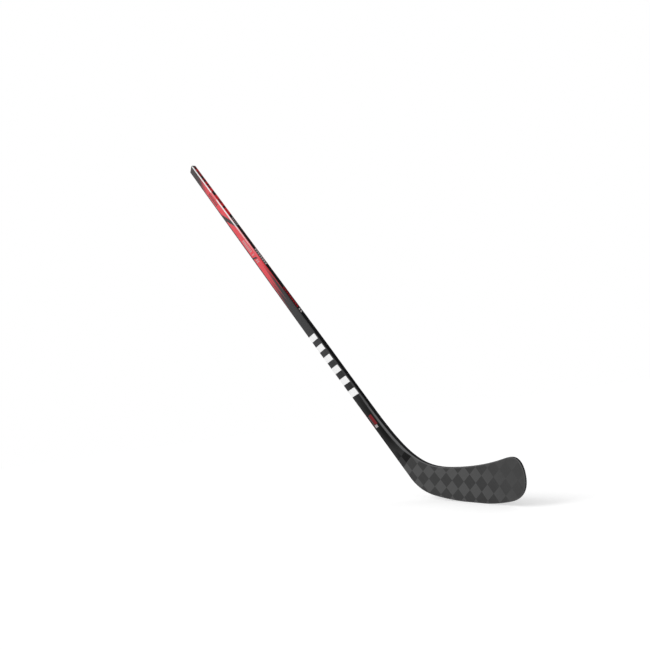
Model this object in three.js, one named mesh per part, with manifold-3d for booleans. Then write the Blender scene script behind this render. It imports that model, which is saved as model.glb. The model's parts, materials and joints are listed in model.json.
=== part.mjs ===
// A composite ice hockey stick: a hollow laminate shaft, and a curved blade whose neck is bonded
// into the shaft's lower end by a stepped tenon. Millimetres, +Z up, as the stick is held in play:
// the sole rests on the ice at the origin, the toe points along +X, the hollow forehand face looks
// towards -Y, and the shaft rises towards -X.
import * as THREE from "three";
import { mergeVertices } from "three/addons/utils/BufferGeometryUtils.js";
import Module from "manifold-3d";

const wasm = await Module();
wasm.setup();

// ---- Driving dimensions ----

// Shaft
const LIE_DEG = 46; // angle of the shaft above the ice
const SHAFT_LENGTH = 1524; // butt end to the ice, along the shaft's centreline
const SHAFT_WIDTH = 29.2; // across the wide faces
const SHAFT_WALL = 2; // laminate of the tube
const CORNER_RADIUS = 5.4; // rounding of the shaft's long corners
const EDGE_ROUND = 0.36; // largest corner rounding, as a share of the local thickness
const LEAST_ROUND = 0.6; // rounding that is left on the inner pieces' corners
const JOINT_AT = 262; // where the tube ends and the blade's neck begins

// Thickness at distances along the centreline: the distance is measured from the ice up the shaft,
// and carries on below zero along the blade towards the toe.
const SHAFT_THICKNESS = 17.6;
const NECK_THICKNESS = 14;
const TOE_THICKNESS = 5.2;
const TAPER_FROM = 290; // the shaft thins towards the neck between these two places
const TAPER_TO = 480;
const TAPER_STEPS = 5;
const THICKNESS = [
  [-265, TOE_THICKNESS],
  [-110, 6.6],
  [-50, 7.6],
  [20, 9.2],
  [80, 10.6],
  [150, 11.9],
  [TAPER_FROM, NECK_THICKNESS],
  [TAPER_TO, SHAFT_THICKNESS],
];

// Blade outline, seen from the forehand side
const LIE_POINT = -128; // where the shaft's centreline would meet the ice
const SOLE_FLAT = 15; // half length of the flat stretch of sole at the origin
const SOLE_RADIUS_HEEL = 680; // rocker towards the heel
const SOLE_RADIUS_TOE = 520; // rocker towards the toe
const HEEL_TOP_AT = 71; // where the shaft's outer edge starts to turn into the heel
const HEEL_END_X = -113;
const SOLE_END_X = 102;
const TOE_TIP = new THREE.Vector2(152.5, 46);
const BLADE_PEAK = new THREE.Vector2(122.5, 79);
const TOP_RISE = new THREE.Vector2(93, 75.2); // where the top edge bends over to its peak
const TOP_RISE_SLOPE = 0.19;
const TOP_LOW = new THREE.Vector2(-56.6, 61.5); // lowest point of the top edge
const NECK_TOP_AT = 250; // where the shaft's inner edge starts to sweep into the top edge
const NECK_HANDLES = [88, 146]; // how far the sweep holds each of its two end directions
const TOE_HANDLES = [21, 26, 19, 19, 12, 9]; // the same for the toe's curves, from sole to top

// Blade curve
const HOOK_START = -116; // the face is flat up to here
const HOOK_RADIUS = 1054;
const FACE_OPEN_DEG = 4.5; // how far the face leans back at the toe
const FACE_HINGE_Z = 32; // height about which it leans

// Centreline of the blade
const BEND_TOP_AT = 140; // where the centreline leaves the shaft's axis
const BLADE_LINE = new THREE.Vector2(-60, 31); // where it runs straight on to the toe

// Inside the blade
const BOND_GAP = 0.3; // clearance between neighbouring pieces
const SKIN_BLADE = 0.9; // laminate on the blade's faces
const SKIN_NECK = 1.8; // laminate on the neck's faces
const SKIN_NECK_AT = 150;
const RAIL_WIDTH = 5.4; // edge band round the blade and along the neck's narrow sides
const RAIL_SPLIT_X = 108; // where the toe band meets the top and sole bands
const RIB_THICKNESS = 1.6;
const RIB_FROM = -4; // distances along the centreline, as for THICKNESS
const RIB_TO = -203;
const HEEL_BLOCK_FROM = 62;

// Tenon, between the tube and the neck
const TENON_UP = 82; // how far it reaches into the tube
const TENON_DOWN = 86; // how far it reaches into the neck
const TENON_ROUND = 1; // corners of its narrow part
const TENON_OVERLAP = 0.5; // how far the narrow part is sunk in the wide one

// Butt end
const CAP_FLANGE = 3.2;
const CAP_STEM = 38;
const CAP_STEM_WALL = 1.8;
const CAP_FIT = 0.3; // clearance of the stem in the tube
const CAP_RIB = 1.2; // thickness of each web across the stem's hollow
const CAP_RIB_SPACING = 7.3;
const CAP_RIB_START = 4; // the webs stand back this far from the stem's open end
const CAP_FLOOR = 1; // what the hollow leaves under the flange
const CAP_OVERLAP = 0.5; // how far the stem is sunk in the flange
const CAP_EDGE = 1.2; // rounding of the flange's rim
const RIM_STEPS = 4;
const RIM_OVERLAP = 0.2;
const FOAM_LENGTH = 30;
const FOAM_GAP = 12; // from the stem's end down to the foam dam

// Facets
const CORNER_STEPS = 4;
const STATION_STEP = 12;
const TOE_STATIONS = 3; // station steps before the toe's end over which the stations close up
const TOE_RINGS = 6;
const LEAST_STEP = [1, 0.6]; // between a solid's first and last ring and their neighbours
const PATH_STEPS = 40;
const OPEN_END = 0.4; // a solid stops this short of the outline's tip, where it has no height
const CORE_OPEN_END = 0.6;
const CUT_PAST = 2; // how far a cutting solid stands proud of what it cuts
const CUT_SHORT = 0.3;

// ---- Outline and centreline, in the plane of the blade (x, z) ----

const lie = THREE.MathUtils.degToRad(LIE_DEG);
const up = new THREE.Vector2(-Math.cos(lie), Math.sin(lie)); // up the shaft
const across = new THREE.Vector2(Math.sin(lie), Math.cos(lie)); // towards the toe side
const level = new THREE.Vector2(1, 0);

// The point `at` up the shaft's centreline and `side` across it.
function onShaft(at, side = 0) {
  return new THREE.Vector2(LIE_POINT, 0).addScaledVector(up, at).addScaledVector(across, side);
}

// Where the line through p along a meets the line through q along b.
function meet(p, a, q, b) {
  const step = q.clone().sub(p).cross(b) / a.cross(b);
  return p.clone().addScaledVector(a, step);
}

// A point on the sole, and the sole's direction there towards the toe.
function sole(x) {
  const radius = x < 0 ? SOLE_RADIUS_HEEL : SOLE_RADIUS_TOE;
  const past = Math.sign(x) * Math.max(0, Math.abs(x) - SOLE_FLAT);
  return {
    point: new THREE.Vector2(x, past ** 2 / (2 * radius)),
    along: new THREE.Vector2(1, past / radius),
  };
}

function makeOutline() {
  const half = SHAFT_WIDTH / 2;
  const shape = new THREE.Path();
  const quadTo = (c, p) => shape.quadraticCurveTo(c.x, c.y, p.x, p.y);
  const cubicTo = (c, d, p) => shape.bezierCurveTo(c.x, c.y, d.x, d.y, p.x, p.y);
  const handle = (p, along, length) => p.clone().addScaledVector(along, length);

  const butt = onShaft(SHAFT_LENGTH, -half);
  const heelTop = onShaft(HEEL_TOP_AT, -half);
  const heelEnd = sole(HEEL_END_X);
  const down = up.clone().negate();
  shape.moveTo(butt.x, butt.y).lineTo(heelTop.x, heelTop.y);
  quadTo(meet(heelTop, down, heelEnd.point, heelEnd.along), heelEnd.point);

  // Each parabola of the rocker is one quadratic curve, whose middle control point lies where its
  // end directions meet.
  const flatHeel = sole(-SOLE_FLAT);
  const flatToe = sole(SOLE_FLAT);
  const soleEnd = sole(SOLE_END_X);
  quadTo(meet(heelEnd.point, heelEnd.along, flatHeel.point, level), flatHeel.point);
  shape.lineTo(flatToe.point.x, flatToe.point.y);
  quadTo(meet(flatToe.point, level, soleEnd.point, soleEnd.along), soleEnd.point);

  const plumb = new THREE.Vector2(0, 1);
  const [sole0, tip0, tip1, peak1, peak2, rise2] = TOE_HANDLES;
  cubicTo(handle(soleEnd.point, soleEnd.along, sole0), handle(TOE_TIP, plumb, -tip0), TOE_TIP);
  cubicTo(handle(TOE_TIP, plumb, tip1), handle(BLADE_PEAK, level, peak1), BLADE_PEAK);
  const rise = new THREE.Vector2(1, TOP_RISE_SLOPE);
  cubicTo(handle(BLADE_PEAK, level, -peak2), handle(TOP_RISE, rise, rise2), TOP_RISE);
  quadTo(meet(TOP_RISE, rise, TOP_LOW, level), TOP_LOW);

  const neckTop = onShaft(NECK_TOP_AT, half);
  const inner = onShaft(SHAFT_LENGTH, half);
  cubicTo(handle(TOP_LOW, level, -NECK_HANDLES[0]), handle(neckTop, down, NECK_HANDLES[1]), neckTop);
  shape.lineTo(inner.x, inner.y);
  return shape.getPoints(PATH_STEPS);
}

const outline = makeOutline();

// The outline moved inwards by a distance. It runs with the inside on its left.
function insetOutline(distance) {
  return outline.map((point, i) => {
    const before = outline[Math.max(0, i - 1)];
    const after = outline[Math.min(outline.length - 1, i + 1)];
    const along = after.clone().sub(before).normalize();
    return point.clone().add(new THREE.Vector2(-along.y, along.x).multiplyScalar(distance));
  });
}

const bladeAlong = TOE_TIP.clone().sub(BLADE_LINE).normalize();
const bendCorner = meet(onShaft(0), up, BLADE_LINE, bladeAlong);
const bend = new THREE.QuadraticBezierCurve(onShaft(BEND_TOP_AT), bendCorner, BLADE_LINE);
const BEND_END = BEND_TOP_AT - bend.getLength();
const TIP_AT = BEND_END - TOE_TIP.distanceTo(BLADE_LINE);

// The centreline's point at a distance, with its direction down the stick turned towards the top.
function centreline(at) {
  let point;
  let along;
  if (at >= BEND_TOP_AT) {
    point = onShaft(at);
    along = up.clone().negate();
  } else if (at <= BEND_END) {
    point = BLADE_LINE.clone().addScaledVector(bladeAlong, BEND_END - at);
    along = bladeAlong.clone();
  } else {
    const share = (BEND_TOP_AT - at) / (BEND_TOP_AT - BEND_END);
    point = bend.getPointAt(share);
    along = bend.getTangentAt(share);
  }
  return { point, top: new THREE.Vector2(-along.y, along.x) };
}

// How far a line of section reaches each way before it meets a border.
function reach(border, point, top) {
  let low = -Infinity;
  let high = Infinity;
  for (let i = 1; i < border.length; i++) {
    const edge = border[i].clone().sub(border[i - 1]);
    const cross = top.cross(edge);
    if (Math.abs(cross) < 1e-9) continue;
    const gap = border[i - 1].clone().sub(point);
    const share = gap.cross(top) / cross;
    if (share < 0 || share > 1) continue;
    const distance = gap.cross(edge) / cross;
    if (distance < 0) low = Math.max(low, distance);
    else high = Math.min(high, distance);
  }
  return [low, high];
}

// ---- Thickness and the blade's curve ----

function fromTable(table, at) {
  const last = table.length - 1;
  if (at <= table[0][0]) return table[0][1];
  if (at >= table[last][0]) return table[last][1];
  const i = table.findIndex(([place]) => place > at);
  const [from, low] = table[i - 1];
  const [to, high] = table[i];
  return THREE.MathUtils.lerp(low, high, (at - from) / (to - from));
}

const thickness = (at) => fromTable(THICKNESS, at);
const rounding = (at) => Math.min(CORNER_RADIUS, EDGE_ROUND * thickness(at));
const skin = (at) =>
  THREE.MathUtils.lerp(SKIN_BLADE, SKIN_NECK, THREE.MathUtils.smoothstep(at, 0, SKIN_NECK_AT));

// How far the blade's middle surface stands from the shaft's middle plane.
function curve(x, z) {
  const past = Math.max(0, x - HOOK_START);
  const lean = Math.tan(THREE.MathUtils.degToRad(FACE_OPEN_DEG));
  const share = past / (TOE_TIP.x - HOOK_START);
  return -(past ** 2) / (2 * HOOK_RADIUS) + lean * share * (z - FACE_HINGE_Z);
}
const SHAFT_Y = -curve(0, 0);

// ---- Solids ----

// A closed mesh through rings of points, each ring with as many points and all turning one way.
function loft(rings) {
  const count = rings[0].length;
  const position = rings.flat().flatMap((p) => [p.x, p.y, p.z]);
  const index = [];
  for (let i = 1; i < rings.length; i++) {
    for (let j = 0; j < count; j++) {
      const [a, b] = [(i - 1) * count + j, (i - 1) * count + ((j + 1) % count)];
      index.push(a, a + count, b, b, a + count, b + count);
    }
  }
  const end = (rings.length - 1) * count;
  for (let j = 2; j < count; j++) {
    index.push(0, j - 1, j, end, end + j, end + j - 1);
  }
  const geometry = new THREE.BufferGeometry();
  geometry.setAttribute("position", new THREE.Float32BufferAttribute(position, 3));
  return geometry.setIndex(index);
}

// The corners of a rounded rectangle: [across, through] pairs.
function roundedRectangle(low, high, front, back, radius) {
  if (!radius) return [[low, front], [high, front], [high, back], [low, back]];
  const corners = [
    [low + radius, front + radius, Math.PI],
    [high - radius, front + radius, Math.PI * 1.5],
    [high - radius, back - radius, 0],
    [low + radius, back - radius, Math.PI * 0.5],
  ];
  return corners.flatMap(([c, d, start]) =>
    Array.from({ length: CORNER_STEPS + 1 }, (_, k) => {
      const turn = start + (Math.PI / 2) * (k / CORNER_STEPS);
      return [c + radius * Math.cos(turn), d + radius * Math.sin(turn)];
    }),
  );
}

// Distances along the centreline from one to another, closer together where the toe rounds off.
function stations(from, to, end = TIP_AT) {
  const places = [];
  const closing = STATION_STEP * TOE_STATIONS;
  for (let at = from; at > end + closing; at -= STATION_STEP) places.push(at);
  for (let k = TOE_RINGS; k > 0; k--) places.push(end + closing * (k / TOE_RINGS) ** 2);
  const [first, last] = LEAST_STEP;
  return [from, ...places.filter((at) => at < from - first && at > to + last), to];
}

// A solid of the blade or neck between two distances along the centreline. Its border is the
// outline moved in, or lies to one side of the centreline, and sides(at) gives its front and back.
function bladeSolid({ from, to, inset = 0, sides, low, high, round = false }) {
  const border = insetOutline(inset);
  const rings = stations(from, to, TIP_AT + inset).map((at) => {
    const { point, top } = centreline(at);
    const [least, most] = reach(border, point, top);
    const [front, back] = sides(at);
    const section = roundedRectangle(low ?? least, high ?? most, front, back, round && rounding(at));
    return section.map(([side, depth]) => {
      const [x, z] = point.clone().addScaledVector(top, side).toArray();
      return new THREE.Vector3(x, SHAFT_Y + curve(x, z) + depth, z);
    });
  });
  return loft(rings);
}

// A solid of the shaft in the shaft's own frame, where z runs up its centreline.
function shaftSolid(places, inset = 0) {
  const rings = [...places].reverse().map((at) => {
    const [half, deep] = [SHAFT_WIDTH / 2 - inset, thickness(at) / 2 - inset];
    const corner = Math.max(LEAST_ROUND, rounding(at) - inset);
    return roundedRectangle(-half, half, -deep, deep, corner).map(
      ([side, depth]) => new THREE.Vector3(side, depth, at),
    );
  });
  return loft(rings);
}

function box(size, centre) {
  return new THREE.BoxGeometry(...size).translate(...centre);
}

function solid(geometry) {
  const bare = geometry.clone();
  bare.deleteAttribute("normal");
  bare.deleteAttribute("uv");
  const merged = mergeVertices(bare, 1e-4);
  return new wasm.Manifold(
    new wasm.Mesh({
      numProp: 3,
      vertProperties: merged.attributes.position.array,
      triVerts: new Uint32Array(merged.index.array),
    }),
  );
}

function fromSolid(manifold) {
  const { vertProperties, triVerts, numProp } = manifold.getMesh();
  const geometry = new THREE.BufferGeometry();
  const count = vertProperties.length / numProp;
  const position = new Float32Array(count * 3);
  for (let i = 0; i < count; i++) {
    position.set(vertProperties.subarray(i * numProp, i * numProp + 3), i * 3);
  }
  geometry.setAttribute("position", new THREE.BufferAttribute(position, 3));
  return geometry.setIndex(new THREE.BufferAttribute(triVerts, 1));
}

// ---- Materials ----

const finish = (color, roughness) =>
  new THREE.MeshStandardMaterial({ color, roughness, metalness: 0 });
const paintedLaminate = finish(0x2b2b2d, 0.42);
const weaveLaminate = finish(0x3b3c3e, 0.5);
const edgeLaminate = finish(0x1a1a1c, 0.38);
const rawLaminate = finish(0x202022, 0.6);
const foam = finish(0xd9d3c4, 0.95);
const elastomer = finish(0x35302c, 0.8);
const capPlastic = finish(0x141415, 0.55);

function piece(name, geometry, material) {
  const mesh = new THREE.Mesh(geometry, material);
  mesh.name = name;
  geometry.computeVertexNormals();
  return mesh;
}

// ---- Shaft pieces, in the shaft's own frame ----

const TUBE_TOP = SHAFT_LENGTH - CAP_FLANGE - BOND_GAP;
const TAPER_PLACES = Array.from({ length: TAPER_STEPS + 1 }, (_, i) =>
  THREE.MathUtils.lerp(TAPER_FROM, TAPER_TO, i / TAPER_STEPS),
);

function shaftTube() {
  const places = [JOINT_AT, ...TAPER_PLACES, TUBE_TOP];
  const bore = [JOINT_AT - CUT_PAST, ...TAPER_PLACES, TUBE_TOP + CUT_PAST];
  const tube = solid(shaftSolid(places));
  return fromSolid(tube.subtract(solid(shaftSolid(bore, SHAFT_WALL))));
}

function buttCap() {
  const flangeFoot = SHAFT_LENGTH - CAP_FLANGE;
  const stemFoot = flangeFoot - CAP_STEM;
  const rim = SHAFT_LENGTH - CAP_EDGE;
  const flange = solid(shaftSolid([flangeFoot, rim])).add(solid(cappedRim(rim, SHAFT_LENGTH)));
  const stemInset = SHAFT_WALL + CAP_FIT;
  const stem = solid(shaftSolid([stemFoot, flangeFoot + CAP_OVERLAP], stemInset));
  const hollow = [stemFoot - CUT_PAST, flangeFoot - CAP_FLOOR];
  const bore = solid(shaftSolid(hollow, stemInset + CAP_STEM_WALL));
  return fromSolid(flange.add(stem).subtract(bore).add(capRibs(stemFoot, flangeFoot)));
}

// The flange's rounded rim, stepping inwards as it rises.
function cappedRim(from, to) {
  const rings = [];
  for (let k = RIM_STEPS; k >= 0; k--) {
    const turn = (Math.PI / 2) * (k / RIM_STEPS);
    const at = THREE.MathUtils.lerp(from - RIM_OVERLAP, to, Math.sin(turn));
    const inset = CAP_EDGE * (1 - Math.cos(turn)) * (k ? 1 : 0);
    const half = SHAFT_WIDTH / 2 - inset;
    const deep = thickness(at) / 2 - inset;
    rings.push(
      roundedRectangle(-half, half, -deep, deep, rounding(at) - inset).map(
        ([side, depth]) => new THREE.Vector3(side, depth, at),
      ),
    );
  }
  return loft(rings);
}

// Webs across the stem's hollow, which stiffen it.
function capRibs(stemFoot, flangeFoot) {
  const deep = SHAFT_THICKNESS - 2 * (SHAFT_WALL + CAP_FIT + CAP_STEM_WALL / 2);
  const height = flangeFoot - stemFoot - CAP_RIB_START;
  const middle = stemFoot + CAP_RIB_START + height / 2;
  const web = (x) => solid(box([CAP_RIB, deep, height], [x, 0, middle]));
  return web(-CAP_RIB_SPACING / 2).add(web(CAP_RIB_SPACING / 2));
}

function buttFoam() {
  const top = SHAFT_LENGTH - CAP_FLANGE - CAP_STEM - FOAM_GAP;
  return shaftSolid([top - FOAM_LENGTH, top], SHAFT_WALL + BOND_GAP);
}

// The wide part fills the tube, and its shoulder sits on the neck, round the narrow part.
function tenon() {
  const shoulder = JOINT_AT + BOND_GAP / 2;
  const topPlaces = [shoulder, ...TAPER_PLACES.filter((at) => at < JOINT_AT + TENON_UP)];
  const wide = shaftSolid([...topPlaces, JOINT_AT + TENON_UP], SHAFT_WALL + BOND_GAP);
  const half = SHAFT_WIDTH / 2 - RAIL_WIDTH - BOND_GAP;
  const rings = [shoulder + TENON_OVERLAP, JOINT_AT - TENON_DOWN].map((at) => {
    const deep = thickness(at) / 2 - Math.max(skin(at), SHAFT_WALL) - BOND_GAP;
    return roundedRectangle(-half, half, -deep, deep, TENON_ROUND).map(
      ([side, depth]) => new THREE.Vector3(side, depth, at),
    );
  });
  return fromSolid(solid(wide).add(solid(loft(rings))));
}

// ---- Blade pieces ----

const NECK_FROM = JOINT_AT - BOND_GAP;
const TIP_END = TIP_AT + OPEN_END;
const outerFace = (at) => thickness(at) / 2;
const innerFace = (at) => thickness(at) / 2 - skin(at);
const coreFace = (at) => innerFace(at) - BOND_GAP;
const coreSides = (at) => [-coreFace(at), coreFace(at)];
const CORE_INSET = RAIL_WIDTH + BOND_GAP;
const CORE_END = TIP_AT + CORE_INSET + CORE_OPEN_END;

function faceSkin(front) {
  const sides = front
    ? (at) => [-outerFace(at), -innerFace(at)]
    : (at) => [innerFace(at), outerFace(at)];
  return bladeSolid({ from: NECK_FROM, to: CORE_END, inset: CORE_INSET, sides });
}

// The band round the edge: the whole blade less everything inside its inner border.
function edgeBand() {
  const sides = (at) => [-outerFace(at), outerFace(at)];
  const whole = solid(bladeSolid({ from: NECK_FROM, to: TIP_END, sides, round: true }));
  const through = () => [-SHAFT_WIDTH, SHAFT_WIDTH];
  const inside = bladeSolid({
    from: NECK_FROM + CUT_PAST,
    to: TIP_AT + RAIL_WIDTH + CUT_SHORT,
    inset: RAIL_WIDTH,
    sides: through,
  });
  return whole.subtract(solid(inside));
}

const band = edgeBand();

// One length of the band: "top" and "sole" lie on the shaft's side of the split, "toe" beyond it.
function rail(which) {
  const big = 2 * SHAFT_LENGTH;
  const heelSide = solid(box([big, big, big], [RAIL_SPLIT_X - BOND_GAP / 2 - big / 2, 0, 0]));
  if (which === "toe") {
    const split = solid(box([big, big, big], [RAIL_SPLIT_X + BOND_GAP / 2 + big / 2, 0, 0]));
    return fromSolid(band.intersect(split));
  }
  const halves = band.intersect(heelSide).decompose();
  const topFirst = halves.sort((a, b) => b.boundingBox().max[2] - a.boundingBox().max[2]);
  return fromSolid(topFirst[which === "top" ? 0 : 1]);
}

const RIB_HALF = RIB_THICKNESS / 2;
const core = (from, to, more = {}) =>
  bladeSolid({ from, to, inset: CORE_INSET, sides: coreSides, ...more });
const WEB_FROM = RIB_FROM + RIB_THICKNESS;
const WEB_TO = RIB_TO - RIB_THICKNESS;

const shaft = new THREE.Group();
shaft.position.set(LIE_POINT, SHAFT_Y, 0);
shaft.rotation.y = lie - Math.PI / 2;
shaft.add(
  piece("shaft_tube", shaftTube(), paintedLaminate),
  piece("butt_cap", buttCap(), capPlastic),
  piece("butt_foam_dam", buttFoam(), foam),
  piece("tenon", tenon(), rawLaminate),
);

const blade = new THREE.Group();
blade.add(
  piece("forehand_skin", faceSkin(true), weaveLaminate),
  piece("backhand_skin", faceSkin(false), weaveLaminate),
  piece("top_rail", rail("top"), edgeLaminate),
  piece("sole_rail", rail("sole"), edgeLaminate),
  piece("toe_rail", rail("toe"), edgeLaminate),
  piece("neck_foam", core(JOINT_AT - TENON_DOWN - BOND_GAP, HEEL_BLOCK_FROM), foam),
  piece("heel_block", core(HEEL_BLOCK_FROM - BOND_GAP, WEB_FROM + BOND_GAP), elastomer),
  piece("heel_web", core(WEB_FROM, RIB_FROM + BOND_GAP), rawLaminate),
  piece("core_upper", core(RIB_FROM, RIB_TO, { low: RIB_HALF + BOND_GAP }), foam),
  piece("core_lower", core(RIB_FROM, RIB_TO, { high: -RIB_HALF - BOND_GAP }), foam),
  piece("centre_rib", core(RIB_FROM, RIB_TO, { low: -RIB_HALF, high: RIB_HALF }), rawLaminate),
  piece("toe_web", core(RIB_TO - BOND_GAP, WEB_TO), rawLaminate),
  piece("core_toe", core(WEB_TO - BOND_GAP, CORE_END), foam),
);

const stick = new THREE.Group();
stick.add(shaft, blade);
export default stick;
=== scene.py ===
"""An ice hockey stick as it is held in play, in metres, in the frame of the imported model.

The sole touches the ice at the origin, the toe points along +X, the hollow forehand face looks
towards -Y, and the shaft rises towards -X. Sizes in this file are millimetres, unless a comment
says otherwise: MM makes them metres.
"""
import json
from math import cos, pi, radians, sin, tan

import bpy
import numpy as np
from mathutils import Matrix, Vector


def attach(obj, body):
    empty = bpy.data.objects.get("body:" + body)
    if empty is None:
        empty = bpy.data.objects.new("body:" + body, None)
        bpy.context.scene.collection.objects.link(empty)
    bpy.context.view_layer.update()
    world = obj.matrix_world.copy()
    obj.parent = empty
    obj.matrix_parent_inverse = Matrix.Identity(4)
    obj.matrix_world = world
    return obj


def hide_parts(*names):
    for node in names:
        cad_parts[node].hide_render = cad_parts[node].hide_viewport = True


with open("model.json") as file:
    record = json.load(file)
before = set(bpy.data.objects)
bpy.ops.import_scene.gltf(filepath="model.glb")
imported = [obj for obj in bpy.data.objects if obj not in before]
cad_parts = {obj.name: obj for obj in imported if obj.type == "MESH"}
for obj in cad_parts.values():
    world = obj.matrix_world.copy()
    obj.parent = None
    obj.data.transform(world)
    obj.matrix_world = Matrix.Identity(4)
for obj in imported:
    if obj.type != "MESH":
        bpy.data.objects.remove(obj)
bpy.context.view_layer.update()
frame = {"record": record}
MM = 0.001

# ---- The shaft's place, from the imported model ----

mounts = {mount["name"]: mount for mount in frame["record"]["mounts"]}
BUTT = np.array(mounts["butt_end"]["pos_m"]) / MM
UP = np.array(mounts["butt_end"]["axis"])  # up the shaft
ACROSS = np.array([UP[2], 0, -UP[0]])  # from the shaft's heel side to its toe side
SHAFT_LENGTH = BUTT[2] / UP[2]  # from the butt end to the ice
LIE_POINT = (BUTT - UP * SHAFT_LENGTH)[0]
SHAFT_Y = BUTT[1]

# ---- Driving dimensions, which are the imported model's ----

SHAFT_WIDTH = 29.2
SHAFT_WALL = 2
CORNER_RADIUS = 5.4
EDGE_ROUND = 0.36  # largest corner rounding, as a share of the local thickness
LEAST_ROUND = 0.6  # rounding that is left on the corners of inner sections
JOINT_AT = 261.85  # middle of the joint between shaft and neck
# Thickness at distances along the centreline, from the ice up the shaft and below zero to the toe
THICKNESS = [
    (-265, 5.2),
    (-110, 6.6),
    (-50, 7.6),
    (20, 9.2),
    (80, 10.6),
    (150, 11.9),
    (290, 14),
    (480, 17.6),
]

SOLE_FLAT = 15
SOLE_RADIUS_HEEL, SOLE_RADIUS_TOE = 680, 520
HEEL_TOP_AT = 71
HEEL_END_X, SOLE_END_X = -113, 102
TOE_TIP = np.array([152.5, 46])
BLADE_PEAK = np.array([122.5, 79])
TOP_RISE, TOP_RISE_SLOPE = np.array([93, 75.2]), 0.19
TOP_LOW = np.array([-56.6, 61.5])
NECK_TOP_AT = 250
NECK_HANDLES = (88, 146)  # how far the neck's sweep holds each of its two end directions
TOE_HANDLES = (21, 26, 19, 19, 12, 9)  # the same for the toe's curves, from sole to top
HOOK_START, HOOK_RADIUS = -116, 1054
FACE_OPEN, FACE_HINGE_Z = radians(4.5), 32
BEND_TOP_AT = 140
BLADE_LINE = np.array([-60, 31])
SKIN_BLADE, SKIN_NECK, SKIN_NECK_AT = 0.9, 1.8, 150
RAIL_WIDTH = 5.4
RAIL_SPLIT_X = 108

CAP_FLANGE = 3.2
CAP_STEM = 38
CAP_STEM_WALL = 1.8
CAP_FIT = 0.3
CAP_EDGE = 1.2

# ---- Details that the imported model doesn't have, or has in another size ----

CAP_RECESS, CAP_RECESS_RIM = 0.7, 2.6  # depth of the end face's recess, and the rim round it
CAP_RECESS_SLOPE = 0.5  # width of the recess's slanted side
CAP_MIDDLE = 6  # inset of the end face's innermost ring
CAP_BARB, CAP_BARBS = 0.25, 6  # height and number of the grip rings round the stem
CAP_BARB_HALF, CAP_BARB_PEAK = 1, 0.6  # half a ring's length, and its peak above its middle
CAP_BARB_MARGIN = 5  # from the outermost grip rings to the stem's two ends
CAP_LEAD_IN = (1, 0.6)  # length and depth of the bevel round the stem's open end
CAP_FLOOR = 1.2  # from the flange's underside down to the top of the stem's hollow
SKIN_GAP = 0.03  # between skins and edge band, so that their meshes' chords don't cross
SKIN_END = 0.03  # how far the skins' last row stays short of their border at the toe

NARROW_FACING = 0.93  # how squarely a face looks sideways to count as the shaft's narrow side

# Fineness of the meshes
OUTLINE_STEP = 2.5
CORNER_STEPS = 10
RIM_STEPS = 5
SHAFT_STEP = 12
SKIN_ROWS = 160
SKIN_CROWDING = 1.6  # how much closer together the skins' rows are at the toe; 1 is evenly
SKIN_COLUMNS = 18
SHARP_FROM = radians(32)  # edges that turn more than this stay sharp

# ---- Outline, centreline and thickness, in the plane of the blade (x, z) ----

level = np.array([1.0, 0.0])
plumb = np.array([0.0, 1.0])
up = UP[[0, 2]]
across = ACROSS[[0, 2]]


def on_shaft(at, side=0):
    """The point `at` up the shaft's centreline and `side` across it."""
    return np.array([LIE_POINT, 0]) + up * at + across * side


def cross(a, b):
    return a[..., 0] * b[..., 1] - a[..., 1] * b[..., 0]


def meet(p, a, q, b):
    """Where the line through p along a meets the line through q along b."""
    return p + a * cross(q - p, b) / cross(a, b)


def bezier(*controls, steps=80):
    """Points along the Bezier curve of any degree that these control points give."""
    share = np.linspace(0, 1, steps)[:, None]
    rows = [np.broadcast_to(control, (steps, 2)) for control in controls]
    while len(rows) > 1:
        rows = [a + (b - a) * share for a, b in zip(rows, rows[1:])]
    return rows[0]


def sole(x):
    """A point of the sole, and the sole's direction there."""
    radius = SOLE_RADIUS_HEEL if x < 0 else SOLE_RADIUS_TOE
    past = np.sign(x) * max(0, abs(x) - SOLE_FLAT)
    return np.array([x, past**2 / (2 * radius)]), np.array([1, past / radius])


def blade_outline():
    """Round neck and blade, from the joint's heel side by the sole and toe to its toe side."""
    half = SHAFT_WIDTH / 2
    heel_top = on_shaft(HEEL_TOP_AT, -half)
    neck_top = on_shaft(NECK_TOP_AT, half)
    heel, heel_way = sole(HEEL_END_X)
    toe, toe_way = sole(SOLE_END_X)
    flat_heel, flat_toe = sole(-SOLE_FLAT)[0], sole(SOLE_FLAT)[0]
    rise = np.array([1, TOP_RISE_SLOPE])
    sole_end, tip_below, tip_above, peak_ahead, peak_behind, rise_end = TOE_HANDLES
    neck_low, neck_high = NECK_HANDLES
    curves = [
        bezier(on_shaft(JOINT_AT, -half), heel_top),
        bezier(heel_top, meet(heel_top, -up, heel, heel_way), heel),
        bezier(heel, meet(heel, heel_way, flat_heel, level), flat_heel),
        bezier(flat_heel, flat_toe),
        bezier(flat_toe, meet(flat_toe, level, toe, toe_way), toe),
        bezier(toe, toe + toe_way * sole_end, TOE_TIP - plumb * tip_below, TOE_TIP),
        bezier(TOE_TIP, TOE_TIP + plumb * tip_above, BLADE_PEAK + level * peak_ahead, BLADE_PEAK),
        bezier(BLADE_PEAK, BLADE_PEAK - level * peak_behind, TOP_RISE + rise * rise_end, TOP_RISE),
        bezier(TOP_RISE, meet(TOP_RISE, rise, TOP_LOW, level), TOP_LOW),
        bezier(TOP_LOW, TOP_LOW - level * neck_low, neck_top - up * neck_high, neck_top),
        bezier(neck_top, on_shaft(JOINT_AT, half)),
    ]
    return even_steps(np.vstack(curves), OUTLINE_STEP)


def even_steps(points, step):
    """The same line, with its points this far apart."""
    length = np.concatenate([[0], np.cumsum(np.linalg.norm(np.diff(points, axis=0), axis=1))])
    places = np.linspace(0, length[-1], int(length[-1] / step) + 1)
    return np.stack([np.interp(places, length, points[:, k]) for k in (0, 1)], axis=1)


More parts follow.
